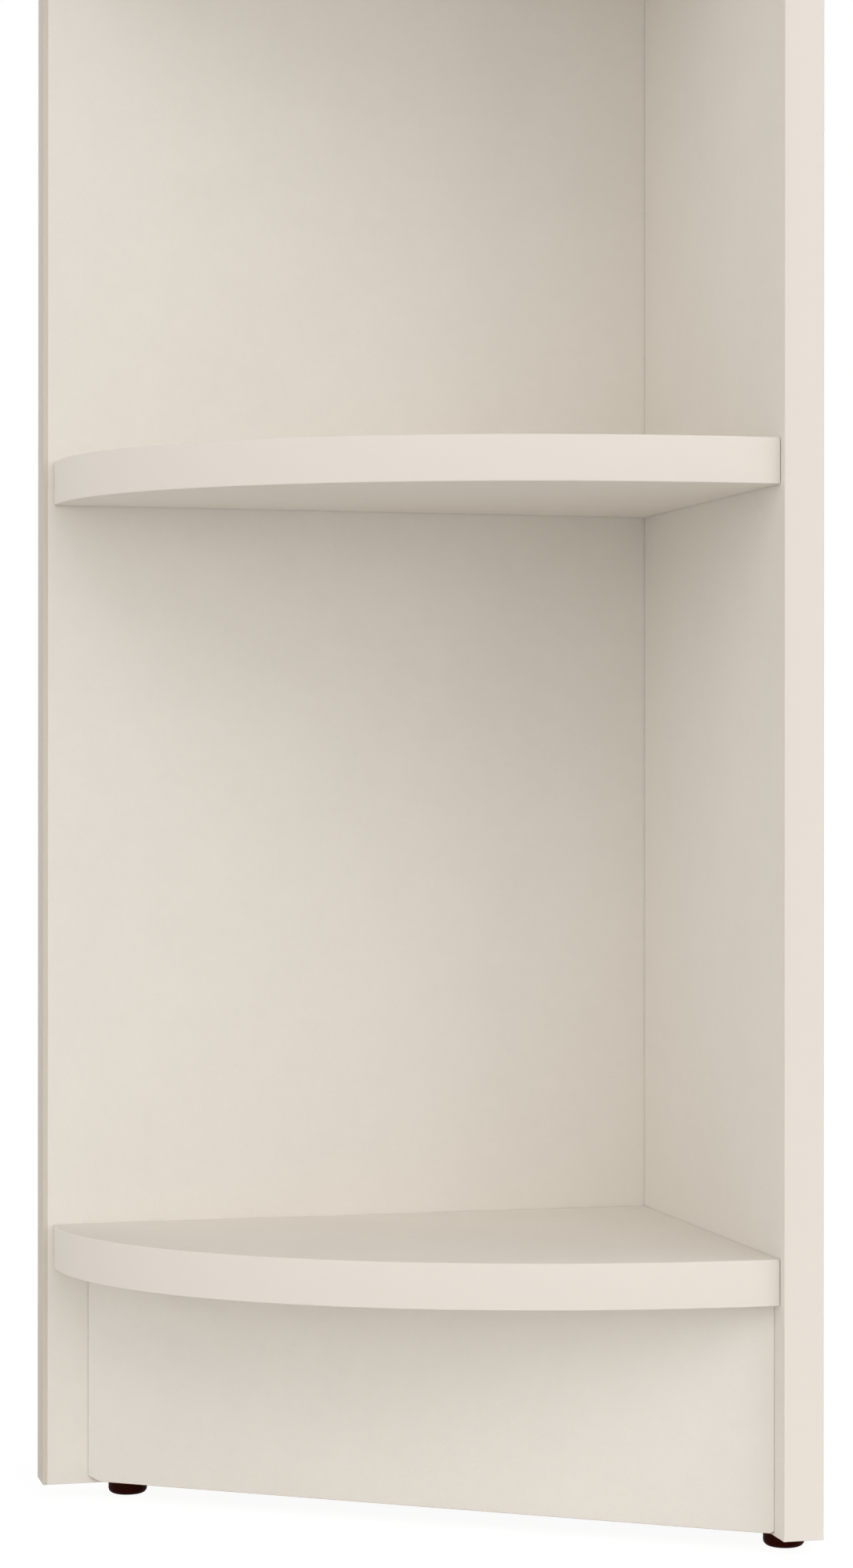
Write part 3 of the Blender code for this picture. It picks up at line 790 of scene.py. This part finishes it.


# the left panel's band carries the painted shade
straight_band("left_panel_band", left_band_low, left_band_high, (-1, 0, 0), SHADE_PAINTED_BAND)
straight_band("right_panel_band", right_band_low, right_band_high, (0, -1, 0), BAND)

# %% [markdown]
# ## The plinth and its glue blocks
#
# The plinth stands across the corner under the base shelf, cut at a slant to lie flat on both panels.
# Its outer shape is read from the frame as the smallest solid without hollows round its corners, so its
# dowel holes drop out and are drilled again rounder. Its right end is pushed up to the panel, because
# that joint shows as a fine grey line and not as an open gap. Two beech blocks glued behind it hold it
# to the panels and to the shelf above.

# %% Plinth and blocks
SAME_PLANE = math.radians(0.5)   # faces that meet at less than this are one
UPRIGHT = 0.1                    # an upright face's normal has less than this along Z
BLOCK_EDGE_BREAK = 2 * EDGE_BREAK


def hull_of(node):
    """A node's outer shape without its holes, with flat many-cornered faces."""
    bm = bmesh.new()
    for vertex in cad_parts[node].data.vertices:
        bm.verts.new(vertex.co)
    bmesh.ops.remove_doubles(bm, verts=bm.verts, dist=MERGE_DISTANCE)
    hull = bmesh.ops.convex_hull(bm, input=bm.verts)
    inside = set(hull["geom_interior"] + hull["geom_unused"])
    bmesh.ops.delete(bm, geom=[item for item in inside if isinstance(item, bmesh.types.BMVert)])
    bmesh.ops.dissolve_limit(bm, angle_limit=SAME_PLANE, verts=bm.verts, edges=bm.edges)
    return bm


plinth = hull_of("plinth_board")
right_end = max(vertex.co.x for vertex in plinth.verts)
for vertex in plinth.verts:
    if vertex.co.x > right_end - HAIRLINE:
        vertex.co.x = right_low.x - CLEARANCE
board = sawn_board("plinth", plinth,
                   lambda normal: abs(normal.z) > UPRIGHT or max(normal.x, normal.y) > FACING)
drill_and_show("plinth", board, "plinth_board", [], PLINTH_DOWELS)

for side in ("left", "right"):
    bm = hull_of("plinth_block_" + side)
    bmesh.ops.bevel(bm, geom=bm.edges[:], offset=BLOCK_EDGE_BREAK, segments=1, affect="EDGES")
    piece(f"plinth_{side}_block", mesh_from(f"plinth_{side}_block", bm), ["plinth_block_" + side],
          [BEECH_ALONG_Z])

# %% [markdown]
# ## One point for each fastener
#
# The screws are all alike, and so are the dowels, so each kind is made once and put at a set of points.
# A point is the fastener's outer end, and it carries the way that the end looks in an attribute called
# axis. The tree turns each copy to that axis, and also about it by a random angle, because nobody stops
# a screw at the same angle twice.

# %% Points with an axis
TURN_SEED = 7
LEAST_NUMBER, MOST_NUMBER = 2, 3  # a Random Value node's inputs, for plain numbers
RANDOM_NUMBER = 1                # and its output
MIDDLE = 0.5                     # of a curve, as a share of its length


def outer_ends(name, fasteners):
    """A mesh of loose points at the fasteners' outer ends, each with its axis."""
    places = [ends(fastener) for fastener in fasteners]
    mesh = bpy.data.meshes.new(name)
    mesh.from_pydata([outer for outer, _, _ in places], [], [])
    axis = mesh.attributes.new("axis", "FLOAT_VECTOR", "POINT")
    axis.data.foreach_set("vector", [value for _, _, direction in places for value in direction])
    return mesh


def copies_at_points(tree, given, shape):
    """Put a copy of a shape at each point, its Z along the point's axis, turned by chance about it."""
    axis = add(tree, "GeometryNodeInputNamedAttribute", {"Name": "axis"}, data_type="FLOAT_VECTOR")
    aimed = add(tree, "FunctionNodeAlignRotationToVector", {"Vector": axis.outputs[0]}, axis="Z")
    angle = add(tree, "FunctionNodeRandomValue", {
        LEAST_NUMBER: 0.0, MOST_NUMBER: math.tau, "Seed": TURN_SEED}, data_type="FLOAT")
    spin = add(tree, "FunctionNodeAxisAngleToRotation", {
        "Axis": (0, 0, 1), "Angle": angle.outputs[RANDOM_NUMBER]})
    both = add(tree, "FunctionNodeRotateRotation", {
        "Rotation": aimed.outputs[0], "Rotate By": spin.outputs[0]}, rotation_space="LOCAL")
    copies = add(tree, "GeometryNodeInstanceOnPoints", {
        "Points": given["Geometry"], "Instance": shape, "Rotation": both.outputs[0]})
    return copies.outputs[0]


def thinned_at_ends(tree, reach, at_end):
    """A value that grows from at_end at both ends of a curve to 1 at a share of its length inside."""
    along = add(tree, "GeometryNodeSplineParameter")
    from_middle = add(tree, "ShaderNodeMath", {0: along.outputs["Factor"], 1: MIDDLE},
                      operation="SUBTRACT")
    distance = add(tree, "ShaderNodeMath", {0: from_middle.outputs[0]}, operation="ABSOLUTE")
    grown = add(tree, "ShaderNodeMapRange", {
        "Value": distance.outputs[0], "From Min": MIDDLE,
        "From Max": MIDDLE - reach, "To Min": at_end, "To Max": 1.0})
    return grown.outputs[0]


print(SCREWS[0], "looks along", list(ends(SCREWS[0])[2]))

# %% [markdown]
# ## The screws
#
# The body is turned: a flat countersunk head, a smooth shank, a slimmer core and a blunt tip. A hexagon
# cut into the head takes the key. The thread is a triangle carried along a right-handed helix, three
# millimetres to a turn, and it fades out at both ends, as a rolled thread does. Only the socket heads
# show, sunk in the panels' outer faces.

# %% Screw body, thread and copies
TIP_RADIUS = 1.5 * MM
NECK_LENGTH = 0.5 * MM           # from the shank down to the core
SOCKET_ACROSS_FLATS = 4 * MM
SOCKET_DEPTH = 3 * MM
THREAD_PITCH = 3 * MM
THREAD_TURNS = 11
THREAD_START = -SCREW_LENGTH + 0.9 * TIP_LENGTH  # close to the tip's wide end
THREAD_FADE = 0.09               # the share of its length in which the thread fades out
THREAD_END = 0.1                 # how much of its height is left at its ends
HELIX_STEPS = 24                 # in one turn


def screw_body():
    """The turned part of a screw, pointing down, with its head's face at height 0."""
    bm = bmesh.new()
    profile = [
        (TIP_RADIUS, -SCREW_LENGTH),
        (CORE_RADIUS, -SCREW_LENGTH + TIP_LENGTH),
        (CORE_RADIUS, -SHANK_LENGTH - NECK_LENGTH),
        (SHANK_RADIUS, -SHANK_LENGTH),
        (SHANK_RADIUS, -HEAD_TAPER),
        (HEAD_RADIUS, -EDGE_BREAK),
        (HEAD_RADIUS - EDGE_BREAK, 0.0),
    ]
    turned(bm, profile, (0, 0, 0), (0, 0, 1))
    return bpy.data.objects.new("screw_body", mesh_from("screw_body", bm))


def screw_tree():
    tree, given = new_tree("connecting_screws", ["Core Radius", "Thread Height", "Pitch", "Turns", "Start",
                                                 "Socket Radius", "Socket Depth"],
                           [("Body", "Object"), ("Finish", "Material")])
    body = add(tree, "GeometryNodeObjectInfo", {"Object": given["Body"]})
    height = add(tree, "ShaderNodeMath", {0: given["Pitch"], 1: given["Turns"]}, operation="MULTIPLY")
    helix = add(tree, "GeometryNodeCurveSpiral", {
        "Resolution": HELIX_STEPS, "Rotations": given["Turns"], "Start Radius": given["Core Radius"],
        "End Radius": given["Core Radius"], "Height": height.outputs[0], "Reverse": True})
    level = add(tree, "GeometryNodeSetCurveNormal", {"Curve": helix.outputs[0]}, mode="Z_UP")
    triangle = add(tree, "GeometryNodeCurvePrimitiveCircle", {
        "Resolution": 3, "Radius": given["Thread Height"]})
    thread = add(tree, "GeometryNodeCurveToMesh", {
        "Curve": level.outputs[0], "Profile Curve": triangle.outputs[0],
        "Scale": thinned_at_ends(tree, THREAD_FADE, THREAD_END), "Fill Caps": True})
    start = add(tree, "ShaderNodeCombineXYZ", {"Z": given["Start"]})
    lowered = add(tree, "GeometryNodeTransform", {
        "Geometry": thread.outputs[0], "Translation": start.outputs[0]})
    threaded = add(tree, "GeometryNodeMeshBoolean", {"Mesh 2": body.outputs["Geometry"]},
                   operation="UNION", solver="EXACT")
    tree.links.new(lowered.outputs[0], threaded.inputs["Mesh 2"])
    twice = add(tree, "ShaderNodeMath", {0: given["Socket Depth"], 1: 2.0}, operation="MULTIPLY")
    hexagon = add(tree, "GeometryNodeMeshCylinder", {
        "Vertices": 6, "Radius": given["Socket Radius"], "Depth": twice.outputs[0]})
    screw = add(tree, "GeometryNodeMeshBoolean", {
        "Mesh 1": threaded.outputs[0], "Mesh 2": hexagon.outputs[0]}, operation="DIFFERENCE", solver="EXACT")
    finish_tree(tree, copies_at_points(tree, given, screw.outputs[0]), given["Finish"])
    return tree


body = screw_body()
sizes = {"Core Radius": CORE_RADIUS, "Thread Height": THREAD_RADIUS - CORE_RADIUS, "Pitch": THREAD_PITCH,
         "Turns": float(THREAD_TURNS), "Start": THREAD_START, "Socket Depth": SOCKET_DEPTH,
         "Socket Radius": SOCKET_ACROSS_FLATS / math.sqrt(3), "Body": body, "Finish": ZINC}
screws = grow("screws", screw_tree(), sizes, outer_ends("screw_points", SCREWS))
bpy.data.objects.remove(body)
piece("screws", screws, SCREWS)

# %% [markdown]
# ## The dowels
#
# A dowel is a beech rod rolled with fine grooves, so that glue and air can pass, and chamfered at both
# ends, so that it finds its hole. Its section is a star of many shallow points, carried along a
# straight line and drawn in over the last millimetre.

# %% Grooved dowels
DOWEL_LENGTH = 30 * MM
DOWEL_CHAMFER = 1 * MM
DOWEL_GROOVES = 20
GROOVE_DEPTH = 0.3 * MM


def dowel_tree():
    tree, given = new_tree("grooved_dowels", ["Radius", "Length", "Groove Depth"],
                           [("Finish", "Material")])
    bottom = add(tree, "ShaderNodeMath", {0: given["Radius"], 1: given["Groove Depth"]},
                 operation="SUBTRACT")
    star = add(tree, "GeometryNodeCurveStar", {
        "Points": DOWEL_GROOVES, "Inner Radius": bottom.outputs[0], "Outer Radius": given["Radius"]})
    down = add(tree, "ShaderNodeMath", {0: given["Length"], 1: -1.0}, operation="MULTIPLY")
    inner_end = add(tree, "ShaderNodeCombineXYZ", {"Z": down.outputs[0]})
    line = add(tree, "GeometryNodeCurvePrimitiveLine", {"Start": inner_end.outputs[0], "End": (0, 0, 0)})
    steps = add(tree, "GeometryNodeResampleCurve", {
        "Curve": line.outputs[0], "Count": round(DOWEL_LENGTH / DOWEL_CHAMFER) + 1})
    drawn_in = thinned_at_ends(tree, DOWEL_CHAMFER / DOWEL_LENGTH, 1 - DOWEL_CHAMFER / DOWEL_RADIUS)
    rod = add(tree, "GeometryNodeCurveToMesh", {
        "Curve": steps.outputs[0], "Profile Curve": star.outputs[0], "Scale": drawn_in, "Fill Caps": True})
    closed = add(tree, "GeometryNodeMergeByDistance", {
        "Geometry": rod.outputs[0], "Distance": MERGE_DISTANCE})
    finish_tree(tree, copies_at_points(tree, given, closed.outputs[0]), given["Finish"])
    return tree


GROOVED_DOWELS = dowel_tree()
for name, chosen, finish in (("shelf_dowels", SHELF_DOWELS, BEECH_ALONG_X),
                             ("plinth_dowels", PLINTH_DOWELS, BEECH_ALONG_Z)):
    sizes = {"Radius": DOWEL_RADIUS, "Length": DOWEL_LENGTH, "Groove Depth": GROOVE_DEPTH,
             "Finish": finish}
    piece(name, grow(name, GROOVED_DOWELS, sizes, outer_ends(name + "_points", chosen)), chosen)

# %% [markdown]
# ## The glides
#
# A glide is a turned shape too: a flat foot with a rounded lower rim, a straight side and a steel nail
# that stands up out of its middle. The nail's faces are the ones above the foot's flat top.

# %% Nail-on glides
FOOT_ROUNDING = 2.5 * MM
RIM_STEPS = 12                   # round the foot's lower rim
NAIL_POINT = 3 * MM
NAIL_TIP_RADIUS = 0.3 * MM


def glide_profile(radius, foot_top, nail_top):
    rounding = []
    for step in range(RIM_STEPS + 1):
        angle = math.pi / 2 * (step / RIM_STEPS - 1)
        rounding.append((radius - FOOT_ROUNDING + FOOT_ROUNDING * math.cos(angle),
                         FOOT_ROUNDING + FOOT_ROUNDING * math.sin(angle)))
    return rounding + [(radius, foot_top), (NAIL_RADIUS, foot_top), (NAIL_RADIUS, nail_top - NAIL_POINT),
                       (NAIL_TIP_RADIUS, nail_top)]


for name in GLIDES:
    low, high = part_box(name)
    foot_top = left_low.z - HAIRLINE
    bm = bmesh.new()
    turned(bm, glide_profile((high.x - low.x) / 2, foot_top, high.z),
           ((low.x + high.x) / 2, (low.y + high.y) / 2, 0), (0, 0, 1))
    for face in bm.faces:
        face.material_index = int(face.calc_center_median().z > foot_top + HAIRLINE)
    piece(name + "_foot", mesh_from(name + "_foot", bm), [name], [GLIDE_PLASTIC, ZINC])

# %% [markdown]
# ## The stage
#
# The picture is a cut-out on pure white. The floor is pale, so that it throws soft light up under the
# shelves as a studio table does. The camera sees it as white paper: mostly a plain white that doesn't
# darken, with a share of the lit floor left in, which keeps a faint shadow round the feet.

# %% Floor and surroundings
FLOOR_SIZE = 60.0                # metres across
FLOOR_COLOUR = "#f6f6f6"
SHADOW_SHARE = 0.1
PAPER_WHITE = 1.05               # with the lit share it comes to white
WORLD_LEVEL = 0.03


def seen_directly(tree):
    """1 for a ray from the camera, a mirror or a clear material, and 0 for light that spreads."""
    ray = add(tree, "ShaderNodeLightPath")
    either = add(tree, "ShaderNodeMath", {0: ray.outputs["Is Camera Ray"], 1: ray.outputs["Is Glossy Ray"]},
                 operation="MAXIMUM")
    any_of_them = add(tree, "ShaderNodeMath", {
        0: either.outputs[0], 1: ray.outputs["Is Transmission Ray"]}, operation="MAXIMUM")
    return any_of_them.outputs[0]


def white_paper():
    made = bpy.data.materials.new("white_paper_floor")
    made.use_nodes = True
    tree = made.node_tree
    paper = tree.nodes["Principled BSDF"]
    fill(tree, paper, {"Base Color": srgb(FLOOR_COLOUR), "Roughness": 0.9})
    white = add(tree, "ShaderNodeEmission", {"Color": (1, 1, 1, 1), "Strength": PAPER_WHITE})
    share = add(tree, "ShaderNodeMath", {0: seen_directly(tree), 1: 1 - SHADOW_SHARE}, operation="MULTIPLY")
    both = add(tree, "ShaderNodeMixShader", {
        0: share.outputs[0], 1: paper.outputs[0], 2: white.outputs[0]})
    fill(tree, tree.nodes["Material Output"], {"Surface": both.outputs[0]})
    return made


bm = bmesh.new()
bmesh.ops.create_grid(bm, x_segments=1, y_segments=1, size=FLOOR_SIZE / 2)
floor = bpy.data.objects.new("floor", mesh_from("floor", bm))
floor.data.materials.append(white_paper())
bpy.context.scene.collection.objects.link(floor)

world = bpy.data.worlds.new("white_room")
world.use_nodes = True
bpy.context.scene.world = world
sky = world.node_tree
level = add(sky, "ShaderNodeMapRange", {"Value": seen_directly(sky), "To Min": WORLD_LEVEL, "To Max": 1.0})
fill(sky, sky.nodes["Background"], {"Color": (1, 1, 1, 1), "Strength": level.outputs[0]})
print("floor and world are set")

# %% [markdown]
# ## The lamps
#
# The studio's light comes from big soft boxes far away: a sun lamp with a wide angle gives the same
# light all the way up a tall object. Azimuth 0 is straight in front and grows towards the right, and
# elevation is above the floor. Low lamps reach in under the shelves, high ones draw the soft slanting
# shade below each shelf, and three behind show the outer faces and their screws. The one behind on the
# left also catches the left ends of the shelves' bands, which the left panel doesn't shade.

# %% Soft lamps
SOFTNESS = math.radians(40)
LAMPS = [
    ("side_left", -100, 22, 0.28),
    ("low_far_left", -70, 5, 0.38),
    ("low_left", -40, 5, 0.67),
    ("low_front", 10, 5, 0.29),
    ("low_right", 40, 5, 0.78),
    ("high_left", -40, 42, 0.54),
    ("high_front", 10, 42, 0.68),
    ("high_right", 70, 42, 0.85),
    ("back_left", -125, 8, 0.38),
    ("back", 165, 10, 0.65),
    ("back_right", 125, 35, 0.12),
]


def soft_lamp(name, azimuth, elevation, strength):
    light = bpy.data.lights.new(name, "SUN")
    light.energy = strength
    light.angle = SOFTNESS
    lamp = bpy.data.objects.new(name, light)
    turn = math.radians(azimuth)
    rise = math.radians(elevation)
    towards = Vector((math.sin(turn) * math.cos(rise), -math.cos(turn) * math.cos(rise), math.sin(rise)))
    lamp.rotation_euler = towards.to_track_quat("Z", "Y").to_euler()
    bpy.context.scene.collection.objects.link(lamp)


for lamp in LAMPS:
    soft_lamp(*lamp)
print(len(LAMPS), "lamps")

# %% [markdown]
# ## The camera
#
# The photograph was taken from the left of the open corner with the camera held level, a third of a
# metre up, so uprights stay upright. Its place and lens were found by matching the boards' edges.

# %% Camera
LENS = 76.686                    # lens and sensor in millimetres
SENSOR_WIDTH = 36
CAMERA_PLACE = (-0.36257, -1.44877, 0.33043)
CAMERA_TILT = math.radians(90)   # level
CAMERA_ROLL = math.radians(-0.029)
CAMERA_TURN = math.radians(-14.261)

bpy.context.scene.view_settings.view_transform = "Standard"
camera = bpy.data.objects.new("camera", bpy.data.cameras.new("camera"))
camera.data.lens = LENS
camera.data.sensor_width = SENSOR_WIDTH
camera.location = CAMERA_PLACE
camera.rotation_euler = (CAMERA_TILT, CAMERA_ROLL, CAMERA_TURN)
bpy.context.scene.collection.objects.link(camera)
bpy.context.scene.camera = camera
print("camera", round(camera.location.length, 2), "m from the middle of the floor")
